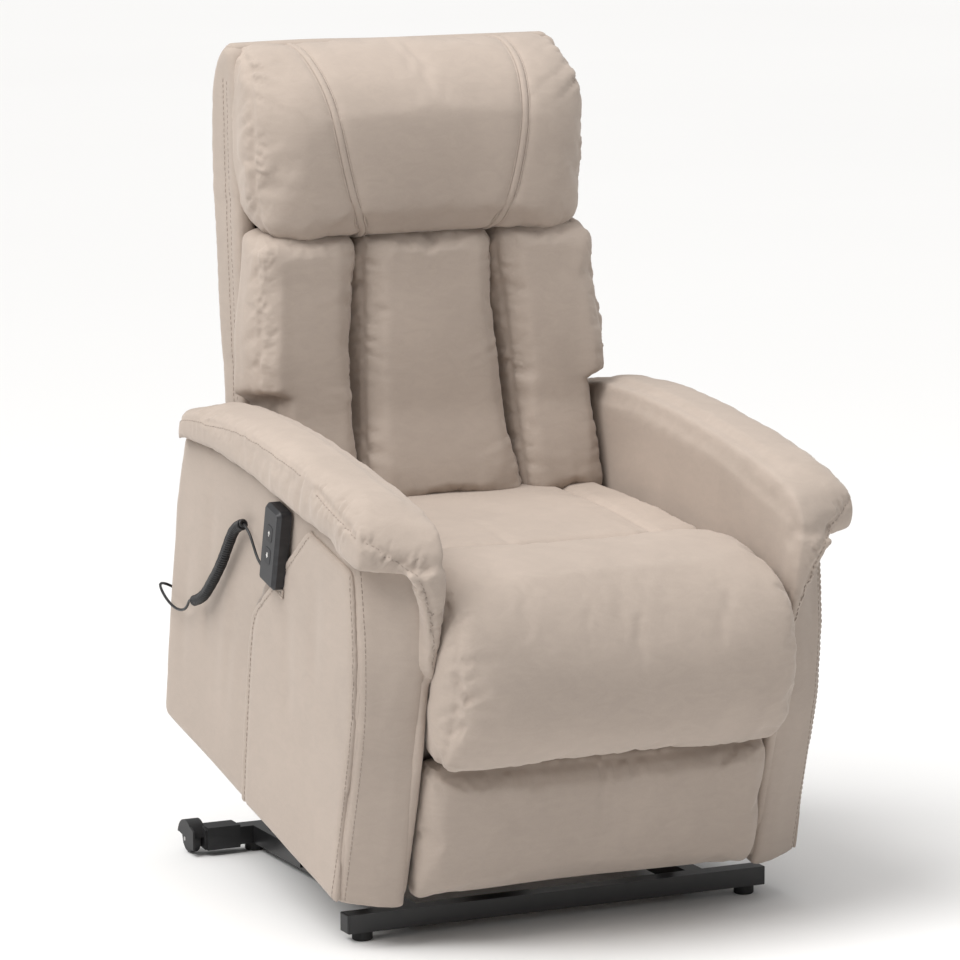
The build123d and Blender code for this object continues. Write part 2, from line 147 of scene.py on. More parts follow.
def bumped(tree, shader, layers):
    """Chains bump layers of (height output, strength, distance in metres)."""
    normal = None
    for height, strength, distance in layers:
        bump = tree.nodes.new("ShaderNodeBump")
        bump.inputs["Strength"].default_value = strength
        bump.inputs["Distance"].default_value = distance
        tree.links.new(height, bump.inputs["Height"])
        if normal is not None:
            tree.links.new(normal, bump.inputs["Normal"])
        normal = bump.outputs["Normal"]
    tree.links.new(normal, shader.inputs["Normal"])


def shade(colour, factor):
    return tuple(min(1.0, c * factor) for c in colour)


SUEDE = (0.425, 0.356, 0.306)


def suede(name, colour, contrast=0.07, seed=0.0):
    """Microfibre suede: nap brushed lighter and darker in soft patches, and a short felted pile."""
    material, tree, shader = node_tree(name)
    vector = coordinates(tree)
    tree.nodes["Mapping"].inputs["Location"].default_value = (seed, 2 * seed, 3 * seed)
    broad = noise(tree, vector, 5.0, 3.0, 0.55, 0.9)
    nap = noise(tree, coordinates(tree, (1.0, 1.0, 2.2)), 28.0, 5.0, 0.6, 1.4)
    grain = noise(tree, vector, 420.0, 2.0, 0.7)
    tone = mixed(tree, mixed(tree, broad, nap, 0.42), grain, 0.16)
    tree.links.new(ramp(tree, tone, [(0.28, shade(colour, 1 - 1.5 * contrast)),
                                     (0.50, colour),
                                     (0.72, shade(colour, 1 + 1.5 * contrast))]),
                   shader.inputs["Base Color"])
    roughened(tree, shader, nap, 0.78, 0.96)
    shader.inputs["Specular IOR Level"].default_value = 0.22
    shader.inputs["Sheen Weight"].default_value = 0.32
    shader.inputs["Sheen Roughness"].default_value = 0.42
    shader.inputs["Sheen Tint"].default_value = (0.98, 0.93, 0.88, 1)
    creases = noise(tree, vector, 95.0, 4.0, 0.6, 0.6)
    pile = noise(tree, vector, 1500.0, 2.0, 0.7)
    bumped(tree, shader, [(broad, 0.10, 0.012), (creases, 0.16, 0.0011), (pile, 0.30, 0.00025)])
    return material


def coated_metal(name, colour, roughness, pebble):
    """Powder-coated or plated steel with a fine orange-peel texture and duller rubbed patches."""
    material, tree, shader = node_tree(name)
    vector = coordinates(tree)
    peel = noise(tree, vector, pebble, 3.0, 0.6)
    wear = noise(tree, vector, 9.0, 5.0, 0.65, 0.4)
    tree.links.new(ramp(tree, wear, [(0.35, shade(colour, 0.8)), (0.6, colour),
                                     (0.78, shade(colour, 1.5))]), shader.inputs["Base Color"])
    roughened(tree, shader, wear, roughness - 0.08, roughness + 0.12)
    bumped(tree, shader, [(peel, 0.18, 0.0004)])
    return material, shader


def powder_coat():
    material, shader = coated_metal("powder_coat_black", (0.012, 0.012, 0.013), 0.34, 620.0)
    shader.inputs["Coat Weight"].default_value = 0.25
    shader.inputs["Coat Roughness"].default_value = 0.22
    return material


def plated(name, colour, roughness):
    material, shader = coated_metal(name, colour, roughness, 240.0)
    shader.inputs["Metallic"].default_value = 1.0
    return material


def moulded(name, colour, roughness, spark=900.0, depth=0.0002):
    """Moulded plastic or rubber with a spark-eroded grain and faint scuffs."""
    material, tree, shader = node_tree(name)
    vector = coordinates(tree)
    grain = noise(tree, vector, spark, 2.0, 0.6)
    scuff = noise(tree, coordinates(tree, (1, 1, 4)), 22.0, 6.0, 0.7, 0.5)
    tree.links.new(ramp(tree, scuff, [(0.4, colour), (0.75, shade(colour, 1.7))]),
                   shader.inputs["Base Color"])
    roughened(tree, shader, scuff, roughness - 0.06, roughness + 0.14)
    bumped(tree, shader, [(grain, 0.35, depth)])
    return material


def plywood():
    material, tree, shader = node_tree("plywood_bare")
    vector = coordinates(tree)
    figure = noise(tree, coordinates(tree, (0.25, 6.0, 6.0)), 9.0, 6.0, 0.6, 1.2)
    pores = noise(tree, coordinates(tree, (4.0, 60.0, 60.0)), 18.0, 3.0, 0.6)
    tree.links.new(ramp(tree, mixed(tree, figure, pores, 0.3),
                        [(0.3, (0.42, 0.27, 0.14)), (0.5, (0.56, 0.39, 0.22)),
                         (0.72, (0.66, 0.49, 0.31))]), shader.inputs["Base Color"])
    shader.inputs["Roughness"].default_value = 0.72
    bumped(tree, shader, [(pores, 0.3, 0.0005), (noise(tree, vector, 300.0), 0.15, 0.0003)])
    return material


def woven(name, colour):
    """Elastic webbing: ribs across the strap and a small weave."""
    material, tree, shader = node_tree(name)
    vector = coordinates(tree)
    waves = tree.nodes.new("ShaderNodeTexWave")
    waves.inputs["Scale"].default_value = 220.0
    waves.inputs["Distortion"].default_value = 1.2
    tree.links.new(vector, waves.inputs["Vector"])
    fleck = noise(tree, vector, 260.0, 3.0, 0.7)
    tree.links.new(ramp(tree, mixed(tree, waves.outputs["Fac"], fleck, 0.5),
                        [(0.3, shade(colour, 0.6)), (0.7, shade(colour, 1.4))]),
                   shader.inputs["Base Color"])
    shader.inputs["Roughness"].default_value = 0.9
    bumped(tree, shader, [(waves.outputs["Fac"], 0.5, 0.0006)])
    return material


FABRIC = suede("suede_beige", SUEDE)
FABRIC_PANEL = suede("suede_beige_panel", shade(SUEDE, 0.97), 0.06, 3.7)
THREAD = suede("thread_beige", shade(SUEDE, 0.80), 0.04, 1.1)
# darker cloth: the cover of the hidden boards, and painted shade where it shows in the side pockets' mouths
LINING_AND_MOUTH_SHADE = suede("lining_and_mouth_shade", shade(SUEDE, 0.62), 0.10, 5.3)
BLACK_STEEL = powder_coat()
HANDSET = moulded("handset_plastic", (0.016, 0.016, 0.018), 0.40)
BUTTON = moulded("button_plastic", (0.022, 0.022, 0.024), 0.50)
PRINT = moulded("button_print", (0.55, 0.54, 0.52), 0.55)
CORD_JACKET = moulded("cord_jacket", (0.010, 0.010, 0.011), 0.36, 500.0, 0.0001)
MATERIAL_OF_SLOT = {
    "black_steel": BLACK_STEEL,
    "zinc_steel": plated("zinc_plate", (0.56, 0.56, 0.55), 0.34),
    "bare_steel": plated("ground_steel", (0.60, 0.60, 0.61), 0.22),
    "spring_steel": plated("oiled_spring_steel", (0.16, 0.16, 0.17), 0.40),
    "plywood": plywood(),
    "webbing": woven("elastic_webbing", (0.060, 0.056, 0.050)),
    "black_plastic": moulded("black_plastic", (0.014, 0.014, 0.015), 0.46, 700.0),
    "handset_plastic": HANDSET,
    "button_plastic": BUTTON,
    "wheel_plastic": moulded("wheel_plastic", (0.020, 0.020, 0.021), 0.52, 500.0),
    "foot_rubber": moulded("foot_rubber", (0.013, 0.013, 0.013), 0.75, 350.0, 0.0003),
    "cord_rubber": CORD_JACKET,
    "suede_cushions": FABRIC,
    "suede_panels": FABRIC_PANEL,
}
for subpart in frame["record"]["subparts"]:
    cad = frame["nodes"][subpart["node"]]
    cad.data.materials.clear()
    cad.data.materials.append(MATERIAL_OF_SLOT[subpart["material_slot"]])
for wrapped in ("legrest_board", "arm_boards"):      # boards covered in lining cloth
    frame["nodes"][wrapped].data.materials[0] = LINING_AND_MOUTH_SHADE


# ------------------------------ stage, light and camera
def studio():
    scene = bpy.context.scene
    scene.view_settings.view_transform = "Standard"
    world = bpy.data.worlds.new("studio")
    scene.world = world
    world.use_nodes = True
    tree = world.node_tree
    place = tree.nodes.new("ShaderNodeTexCoord")
    split = tree.nodes.new("ShaderNodeSeparateXYZ")
    height = tree.nodes.new("ShaderNodeMapRange")
    tree.links.new(place.outputs["Generated"], split.inputs["Vector"])
    tree.links.new(split.outputs["Z"], height.inputs["Value"])
    height.inputs["From Min"].default_value = 0.0
    height.inputs["To Min"].default_value = 0.14
    height.inputs["To Max"].default_value = 0.82
    tree.links.new(height.outputs["Result"], tree.nodes["Background"].inputs["Strength"])
    tree.nodes["Background"].inputs["Color"].default_value = (1.0, 0.995, 0.985, 1)

    floor_mesh = bpy.data.meshes.new("studio_floor")
    reach = 60.0
    floor_mesh.from_pydata([(-reach, -reach, 0), (reach, -reach, 0), (reach, reach, 0),
                            (-reach, reach, 0)], [], [(0, 1, 2, 3)])
    floor = in_scene("studio_floor", floor_mesh)
    material, tree, shader = node_tree("studio_floor")
    speck = noise(tree, coordinates(tree), 0.4)
    tree.links.new(ramp(tree, speck, [(0.3, (0.84, 0.84, 0.84)), (0.7, (0.85, 0.85, 0.85))]),
                   shader.inputs["Base Color"])
    shader.inputs["Roughness"].default_value = 0.9
    floor_mesh.materials.append(material)

    def softbox(name, place, target, size, power, colour):
        lamp = bpy.data.lights.new(name, "AREA")
        lamp.shape = "RECTANGLE"
        lamp.size, lamp.size_y = size
        lamp.energy = power
        lamp.color = colour
        holder = in_scene(name, lamp)
        holder.location = place
        holder.rotation_euler = (Vector(target) - Vector(place)).to_track_quat("-Z", "Y").to_euler()

    softbox("key_light", (-3.0, -0.4, 2.6), (0, 0, 0.6), (1.8, 1.8), 20, (1.0, 0.99, 0.975))
    softbox("top_light", (0.0, -0.4, 3.4), (0, 0, 0.5), (2.2, 2.2), 30, (1.0, 0.99, 0.98))

    sun = bpy.data.lights.new("soft_sun", "SUN")
    sun.energy = 2.15
    sun.angle = math.radians(40)
    sun.color = (1.0, 0.99, 0.975)
    holder = in_scene("soft_sun", sun)
    holder.rotation_euler = Vector((0.56, 0.02, -0.83)).to_track_quat("-Z", "Y").to_euler()

    camera = bpy.data.cameras.new("camera")
    camera.lens = 187.5
    camera.sensor_width = 36.0
    camera.clip_end = 200.0
    eye = in_scene("camera", camera)
    eye.location = (-2.9529, -6.1594, 1.7428)
    eye.rotation_euler = (math.radians(80.28), 0, math.radians(-25.48))
    scene.camera = eye


studio()


# ------------------------------ the handset's cord
LEAD_R = 2.0
CURL_R = 8.0
CURL_PITCH = 4.7
CURL_STEPS = 14                  # points in each turn of the curly stretch
CORD_HAND = [(-356, 307.5, 360), (-356.5, 327, 363), (-357.5, 343, 377), (-359, 358, 392),
             (-360, 378, 397)]
CORD_CURL = [(-360, 378, 397), (-361, 402, 385), (-361, 420, 352), (-361, 440, 310),
             (-361.5, 466, 272), (-361.5, 492, 238), (-361, 524, 221)]
CORD_CHAIR = [(-361, 524, 221), (-360.5, 540, 216), (-358, 549, 203), (-358, 562, 190),
              (-358, 588, 181), (-358.5, 618, 180), (-357, 648, 184), (-352, 670, 187),
              (-333, 681, 178), (-312, 672, 166), (-300, 657, 162)]


def nurbs(name, points):
    """A curve of one open spline whose control points are the given places, in metres."""
    curve = bpy.data.curves.new(name, "CURVE")
    curve.dimensions = "3D"
    curve.resolution_u = 12
    spline = curve.splines.new("NURBS")
    spline.points.add(len(points) - 1)
    for point, place in zip(spline.points, points):
        point.co = (*place, 1)
    spline.order_u = 3
    spline.use_endpoint_u = True
    return in_scene(name, curve)


def spline_line(points):
    """The smooth line that the route's spline follows, as world points in metres."""
    guide = nurbs("cord_guide", points)
    graph = bpy.context.evaluated_depsgraph_get()
    mesh = bpy.data.meshes.new_from_object(guide.evaluated_get(graph))
    line = np.array([vertex.co[:] for vertex in mesh.vertices])
    curve = guide.data
    bpy.data.objects.remove(guide)
    bpy.data.curves.remove(curve)
    bpy.data.meshes.remove(mesh)
    return line


def along(line, distance):
    """Point and direction at a distance along a line of points."""
    runs = np.linalg.norm(np.diff(line, axis=0), axis=1)
    ends = np.concatenate([[0], np.cumsum(runs)])
    k = int(np.clip(np.searchsorted(ends, distance) - 1, 0, len(runs) - 1))
    t = (distance - ends[k]) / runs[k]
    return line[k] + t * (line[k + 1] - line[k]), (line[k + 1] - line[k]) / runs[k]


def curl(line, turns, radius, ramp_turns=0.8):
    """A helix of that many turns wound round a line, closing in on it at both ends."""
    length = np.linalg.norm(np.diff(line, axis=0), axis=1).sum()
    side = np.array([1.0, 0.0, 0.0])
    steps = int(turns * CURL_STEPS)
    points = []
    for i in range(1, steps):
        turn = i / CURL_STEPS
        centre, direction = along(line, length * i / steps)
        side = side - direction * (side @ direction)
        side /= np.linalg.norm(side)
        other = np.cross(direction, side)
        grow = min(1.0, turn / ramp_turns, (turns - turn) / ramp_turns)
        angle = 2 * math.pi * turn
        wobble = 1 + 0.025 * math.sin(1.7 * turn) + 0.02 * math.sin(0.61 * turn + 1)
        points.append(centre + radius * grow * wobble
                      * (math.cos(angle) * side + math.sin(angle) * other))
    return points


def build_cord():
    middle = spline_line([at(*p) for p in CORD_CURL])
    length = np.linalg.norm(np.diff(middle, axis=0), axis=1).sum()
    turns = round(length / (CURL_PITCH * MM))
    points = [at(*p) for p in CORD_HAND[:-1]]
    points += [Vector(p) for p in curl(middle, turns, (CURL_R - LEAD_R) * MM)]
    points += [at(*p) for p in CORD_CHAIR[1:]]
    cord = nurbs("handset_cord", points)
    cord.data.resolution_u = 3
    cord.data.bevel_depth = LEAD_R * MM
    cord.data.bevel_resolution = 2
    cord.data.use_fill_caps = True
    cord.data.materials.append(CORD_JACKET)
    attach(cord, "body")
    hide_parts("cord_lead_handset", "cord_curl", "cord_lead_chair")


build_cord()


# ------------------------------ shapes in the body's frame
def new_object(name, vertices, faces):
    """A mesh in the body's frame, given in mm and kept in metres."""
    mesh = bpy.data.meshes.new(name)
    mesh.from_pydata((np.asarray(vertices, float) * MM).tolist(), [], faces)
    mesh.validate()
    mesh.update()
    return in_scene(name, mesh)


def rounded(points, radius, step=22.0):
    """A closed outline with its corners rounded and its long sides divided."""
    points = np.array(points, float)
    count = len(points)
    result = []
    for i in range(count):
        before, here, after = points[i - 1], points[i], points[(i + 1) % count]
        a, b = before - here, after - here
        reach_a = min(radius, 0.45 * np.linalg.norm(a))
        reach_b = min(radius, 0.45 * np.linalg.norm(b))
        start = here + a / np.linalg.norm(a) * reach_a
        end = here + b / np.linalg.norm(b) * reach_b
        for t in (0, 0.25, 0.5, 0.75, 1):
            result.append((1 - t) ** 2 * start + 2 * t * (1 - t) * here + t * t * end)
        following = after - b / np.linalg.norm(b) * min(radius, 0.45 * np.linalg.norm(b))
        pieces = int(np.linalg.norm(following - end) // step)
        for k in range(1, pieces):
            result.append(end + (following - end) * k / pieces)
    return np.array(result)


def offset(loop, distance):
    """The outline moved inwards by a distance."""
    tangent = np.roll(loop, -1, 0) - np.roll(loop, 1, 0)
    normal = np.stack([tangent[:, 1], -tangent[:, 0]], 1)
    normal /= np.linalg.norm(normal, axis=1, keepdims=True) + 1e-9
    x, y = loop[:, 0], loop[:, 1]
    area = np.sum(x * np.roll(y, -1) - np.roll(x, -1) * y)
    return loop - normal * distance * (1 if area > 0 else -1)


def loft(sections):
    """Vertices and faces of a closed form through sections with equal point counts."""
    count = len(sections[0])
    vertices = np.concatenate(sections)
    faces = [tuple(range(count))[::-1]]
    for k in range(len(sections) - 1):
        for i in range(count):
            j = (i + 1) % count
            faces.append((k * count + i, k * count + j, (k + 1) * count + j, (k + 1) * count + i))
    faces.append(tuple((len(sections) - 1) * count + i for i in range(count)))
    return vertices, faces


def slab(outline, x0, x1, edge=20.0, crown=0.0, corner=14.0, warp=None, stations=9):
    """A pad across the chair: an outline in (u, v) from x0 to x1, its two ends rounded off by
    edge and its middle standing crown proud.  warp(loop, x) may reshape each section."""
    loop = rounded(outline, corner)
    middle, half = (x0 + x1) / 2, abs(x1 - x0) / 2
    edge = min(edge, 0.95 * half)
    places = [half * math.sin(math.pi / 2 * t) if abs(t) == 1 else t * (half - edge)
              for t in np.linspace(-1, 1, stations)]
    rim = [half - edge + edge * math.sin(a) for a in (0.35, 0.75, 1.1, 1.35)]
    places = sorted(set([round(p, 3) for p in places + rim + [-r for r in rim]]))
    sections = []
    for p in places:
        over = max(0.0, abs(p) - (half - edge)) / edge
        inward = edge * (1 - math.sqrt(max(0.0, 1 - over ** 2)))
        section = offset(loop, inward - crown * (1 - (p / half) ** 2))
        x = middle + p
        if warp is not None:
            section = warp(section.copy(), x)
        sections.append(np.column_stack([np.full(len(section), x), section]))
    return loft(sections)


def joined(parts):
    vertices, faces, base = [], [], 0
    for part_vertices, part_faces in parts:
        vertices.append(part_vertices)
        faces += [tuple(i + base for i in face) for face in part_faces]
        base += len(part_vertices)
    return np.concatenate(vertices), faces


def bake(obj):
    graph = bpy.context.evaluated_depsgraph_get()
    mesh = bpy.data.meshes.new_from_object(obj.evaluated_get(graph))
    old = obj.data
    obj.modifiers.clear()
    obj.data = mesh
    bpy.data.meshes.remove(old)


def relaxed(obj, rounds):
    """Applies what is on the piece and softens it by that many rounds of smoothing."""
    relax = obj.modifiers.new("relax", "SMOOTH")
    relax.factor = 0.5
    relax.iterations = rounds
    bake(obj)


def skin(name, parts, cell=CELL, smooth=8):
    """One continuous surface over the parts, with its edges softened."""
    obj = new_object(name, *joined(parts))
    remesh = obj.modifiers.new("remesh", "REMESH")
    remesh.mode = "VOXEL"
    remesh.voxel_size = cell * MM
    relaxed(obj, smooth)
    return obj


def vectors(vertices, what):
    flat = np.empty(len(vertices) * 3)
    vertices.foreach_get(what, flat)
    return flat.reshape(-1, 3)


def coords(obj):
    return vectors(obj.data.vertices, "co") / MM


def set_coords(obj, co):
    obj.data.vertices.foreach_set("co", (co * MM).ravel())
    obj.data.update()


def normals(obj):
    return vectors(obj.data.vertices, "normal")


def inflate(obj, cap, pressure=4.0, slack=0.02, hold=None):
    """Fills the piece by cloth simulation.  slack is the extra cloth that makes it crease,
    cap the furthest that a point may move, and hold(co) says which points are sewn down."""
    scene = bpy.context.scene
    start = coords(obj)
    cloth = obj.modifiers.new("cloth", "CLOTH")
    settings = cloth.settings
    settings.quality = 4
    settings.mass = 0.25
    settings.tension_stiffness = 12
    settings.compression_stiffness = 12
    settings.bending_stiffness = 0.35
    settings.use_pressure = True
    settings.uniform_pressure_force = pressure
    settings.shrink_min = -slack
    settings.effector_weights.gravity = 0
    cloth.collision_settings.use_collision = False
    if hold is not None:
        group = obj.vertex_groups.new(name="sewn")
        group.add(np.nonzero(hold(start))[0].tolist(), 1.0, "REPLACE")
        settings.vertex_group_mass = "sewn"
    for number in range(1, SIM_FRAMES + 1):
        scene.frame_set(number)
    graph = bpy.context.evaluated_depsgraph_get()
    moved = vectors(obj.evaluated_get(graph).data.vertices, "co") / MM
    obj.modifiers.clear()
    obj.vertex_groups.clear()
    scene.frame_set(1)
    move = moved - start
    far = np.linalg.norm(move, axis=1, keepdims=True)
    set_coords(obj, start + move * np.minimum(1, cap / np.maximum(far, 1e-6)))


def arc_lengths(line):
    return np.concatenate([[0], np.cumsum(np.linalg.norm(np.diff(line, axis=0), axis=1))])


def resampled(places, ends, rows):
    return np.stack([np.interp(places, ends, rows[:, k]) for k in range(3)], 1)


def smooth_line(points, step=4.0):
    """A smooth line through the points (Catmull-Rom), resampled every step."""
    p = np.array(points, float)
    p = np.vstack([2 * p[0] - p[1], p, 2 * p[-1] - p[-2]])
    dense = []
    for i in range(1, len(p) - 2):
        for t in np.linspace(0, 1, 24, endpoint=False):
            dense.append(0.5 * (2 * p[i] + (p[i + 1] - p[i - 1]) * t
                                + (2 * p[i - 1] - 5 * p[i] + 4 * p[i + 1] - p[i + 2]) * t ** 2
                                + (3 * p[i] - p[i - 1] - 3 * p[i + 1] + p[i + 2]) * t ** 3))
    dense.append(p[-2])
    dense = np.array(dense)
    ends = arc_lengths(dense)
    places = np.linspace(0, ends[-1], max(3, int(ends[-1] / step) + 1))
    return resampled(places, ends, dense)


def steady(rows, reach=6):
    """Each row averaged with its neighbours, so that a traced line runs without kinks."""
    padded = np.pad(rows, ((reach, reach), (0, 0)), mode="edge")
    count = 2 * reach + 1
    return np.stack([padded[i:i + count].mean(0) for i in range(len(rows))])


def surface_tree(obj):
    faces = [tuple(polygon.vertices) for polygon in obj.data.polygons]
    return BVHTree.FromPolygons([Vector(c) for c in coords(obj)], faces)


def trace(obj, points, step=4.0, tree=None):
    """The line dropped onto the piece's surface: places and surface normals."""
    tree = tree or surface_tree(obj)
    places, facing = [], []
    for point in smooth_line(points, step):
        place, normal, _, _ = tree.find_nearest(Vector(point))
        places.append(place)
        facing.append(normal)
    return np.array(places), np.array(facing)


def wave(s, seed, length):
    """An uneven ripple along s, between about -1 and 1: round puffs and sharp valleys."""
    draw = np.random.default_rng(seed)
    value = np.zeros_like(s)
    for factor, weight in ((1.0, 0.55), (0.71, 0.3), (1.63, 0.4)):
        drift = 0.8 * np.sin(2 * math.pi * s / (length * 4.1) + draw.uniform(0, 6.28))
        phase = math.pi * s / (length * factor) + draw.uniform(0, 6.28) + drift
        value += weight * (2 * np.abs(np.sin(phase)) - 1.27)
    swell = 0.55 + 0.45 * np.sin(2 * math.pi * s / (length * 5.3) + draw.uniform(0, 6.28))
    return value * swell


def refine(obj, lines, reach=26.0):
    """Halves the mesh near the lines, so that seams and puckers there stay crisp."""
    co = coords(obj)
    near = np.zeros(len(co), bool)
    for points in lines:
        line = smooth_line(points, 12.0)
        for block in np.array_split(np.arange(len(co)), max(1, len(co) // 6000)):
            gap = np.linalg.norm(co[block][:, None] - line[None], axis=2).min(1)
            near[block] |= gap < reach
    form = bmesh.new()
    form.from_mesh(obj.data)
    edges = [e for e in form.edges if near[e.verts[0].index] and near[e.verts[1].index]]
    bmesh.ops.subdivide_edges(form, edges=edges, cuts=1, use_grid_fill=True)
    form.to_mesh(obj.data)
    form.free()
    relaxed(obj, 2)


def seam(obj, points, depth=3.0, width=7.0, pucker=0.0, reach=35.0, length=26.0, seed=1,
         taper=0.0, lean=0.0):
    """Pulls a sewn seam into the surface and puckers the cloth on both sides of it.
    taper fades both ends over that length, and lean slants the puckers."""
    line, _ = trace(obj, points)
    co = coords(obj)
    near = np.full(len(co), 1e9)
    where = np.zeros(len(co))
    side = np.zeros(len(co))
    arc = arc_lengths(line)
    limit = max(3 * width, 3.2 * reach if pucker else 0)
    close = np.nonzero(np.all((co > line.min(0) - limit) & (co < line.max(0) + limit), axis=1))[0]
    if not len(close):
        return
    facing = normals(obj)
    for block in np.array_split(close, max(1, len(close) // 4000)):
        gap = np.linalg.norm(co[block][:, None] - line[None], axis=2)
        k = gap.argmin(1)
        near[block] = gap[np.arange(len(block)), k]
        where[block] = arc[k]
        k2 = np.clip(k, 0, len(line) - 2)
        tangent = line[k2 + 1] - line[k2]
        across = np.cross(tangent, facing[block])
        side[block] = np.sign(np.einsum("ij,ij->i", across, co[block] - line[k]))
    fade = np.ones(len(co))
    if taper:
        fade = np.clip(where / taper, 0, 1) * np.clip((arc[-1] - where) / taper, 0, 1)
        fade = fade * fade * (3 - 2 * fade)
    move = -depth * np.exp(-(near / width) ** 2)
    if pucker:
        slanted = where + lean * near
        draw = np.random.default_rng(seed + 7)
        reach = reach * (0.95 + 0.45 * np.sin(2 * math.pi * where / (length * 2.7)
                                              + draw.uniform(0, 6.28)))
        ripple = np.where(side > 0, wave(slanted, seed, length), wave(slanted, seed + 91, length))
        hold = 1 - np.exp(-(near / (0.8 * width)) ** 2)
        move += pucker * ripple * hold * np.exp(-near / reach)
    set_coords(obj, co + facing * (move * fade)[:, None])


def fold(obj, points, depth, width, taper=40.0):
    """A long soft crease (positive depth) or ridge (negative) that dies out at both ends."""
    seam(obj, points, depth=depth, width=width, taper=taper)


def crumple(obj, amount, scale, seed=0):
    """Slow, uneven swelling of the whole surface."""
    co = coords(obj)
    shift = Vector((seed * 7.13, seed * 3.7, seed * 1.9))
    value = np.array([lattice.noise(Vector(c) / scale + shift) for c in co])
    set_coords(obj, co + normals(obj) * (amount * value)[:, None])


SURFACES = {}                    # each placed piece's surface, still in the body's frame


def place(obj, body, material, slot_name="suede_panels", pad=None, replaces=()):
    """Gives the finished piece its material, turns it from the body's frame into the world and hands it to its
    body when that is a name (a piece given a tuple stays unparented), and hides the parts it replaces.
    """
    SURFACES[obj.name] = surface_tree(obj)
    obj.data.materials.clear()
    obj.data.materials.append(material)
    obj.data.polygons.foreach_set("use_smooth", [True] * len(obj.data.polygons))
    obj.data.transform(BODY_MATRIX)
    obj.data.update()
    if isinstance(body, str):
        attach(obj, body)
    else:
        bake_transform(obj)
    if replaces:
        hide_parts(*replaces)
    return obj


def tube(line, radius, sides=8, facing=None, flat=1.0):
    """Vertices and faces of a tube along a line; flat presses it onto the surface."""
    count = len(line)
    tangent = np.gradient(line, axis=0)
    tangent /= np.linalg.norm(tangent, axis=1, keepdims=True)
    up = facing if facing is not None else np.tile([0.3, 0.8, 0.5], (count, 1))
    up = up - tangent * np.einsum("ij,ij->i", up, tangent)[:, None]
    up /= np.linalg.norm(up, axis=1, keepdims=True)
    across = np.cross(tangent, up)
    angles = [2 * math.pi * k / sides for k in range(sides)]
    return loft([np.array([line[i] + radius * (math.cos(angle) * across[i]
                                               + flat * math.sin(angle) * up[i])
                           for angle in angles]) for i in range(count)])


STITCH = 5.2
STITCH_GAP = 2.6
STITCH_R = 0.75


def stitches(line, facing):
    """Short raised threads laid end to end along a traced line."""
    arc = arc_lengths(line)
    parts = []
    for start in np.arange(2.0, arc[-1] - STITCH, STITCH + STITCH_GAP):
        places = start + np.array([0.0, 0.2, 0.8, 1.0]) * STITCH
        points = resampled(places, arc, line)
        up = resampled(places, arc, facing)
        up /= np.linalg.norm(up, axis=1, keepdims=True) + 1e-9
        lift = np.array([-0.5, 0.35, 0.35, -0.5]) * STITCH_R
        parts.append(tube(points + up * lift[:, None], STITCH_R, 5, up, 0.8))
    return parts


def stitching(name, body, lines):
    """One piece of thread for rows of (name of a placed piece, line of points)."""
    parts = []
    for surface, points in lines:
        parts += stitches(*trace(None, points, 2.5, SURFACES[surface]))
    obj = new_object(name, *joined(parts))
    return place(obj, body, THREAD)


# ------------------------------ outlines in (u, v)
ARM_FRONT = [(0, 0), (-6, 120), (-10, 245), (4, 345), (34, 440), (52, 480)]
PAD_SEAM = [(52, 480), (73, 487), (229, 480), (377, 471), (492, 459), (640, 425)]
ARM_REAR = [(653, 320), (650, 229), (644, 123), (630, 0)]
CUSHION_FRONT = [(480, 366), (500, 404), (540, 474), (574, 562), (606, 644), (622, 692)]
CUSHION_REAR = [(600, 352), (645, 464), (678, 572), (714, 694)]
COVER_REAR = [(672, 306), (696, 372), (716, 420), (732, 470), (760, 540), (798, 646),
              (826, 719), (843, 785), (857, 864), (852, 912), (838, 932)]
BACK_HALF = 248
SEAT_HALF = 255
ARM_OUT = 345


# ------------------------------ back
def on_side(s, points):
    """The points on the chair's left (s = -1) or right (s = 1), given with |x|."""
    return [(s * x, u, v) for x, u, v in points]


def behind(front, depth):
    """True for points further back than depth behind a front line of (u, v) points."""
    us, vs = zip(*front)
    return lambda co: co[:, 1] > np.interp(co[:, 2], vs, us) + depth


def reshape(obj, change):
    """Applies change(co) to the points of the piece."""
    set_coords(obj, change(coords(obj)))


def ease(value):
    value = np.clip(value, 0, 1)
    return value * value * (3 - 2 * value)


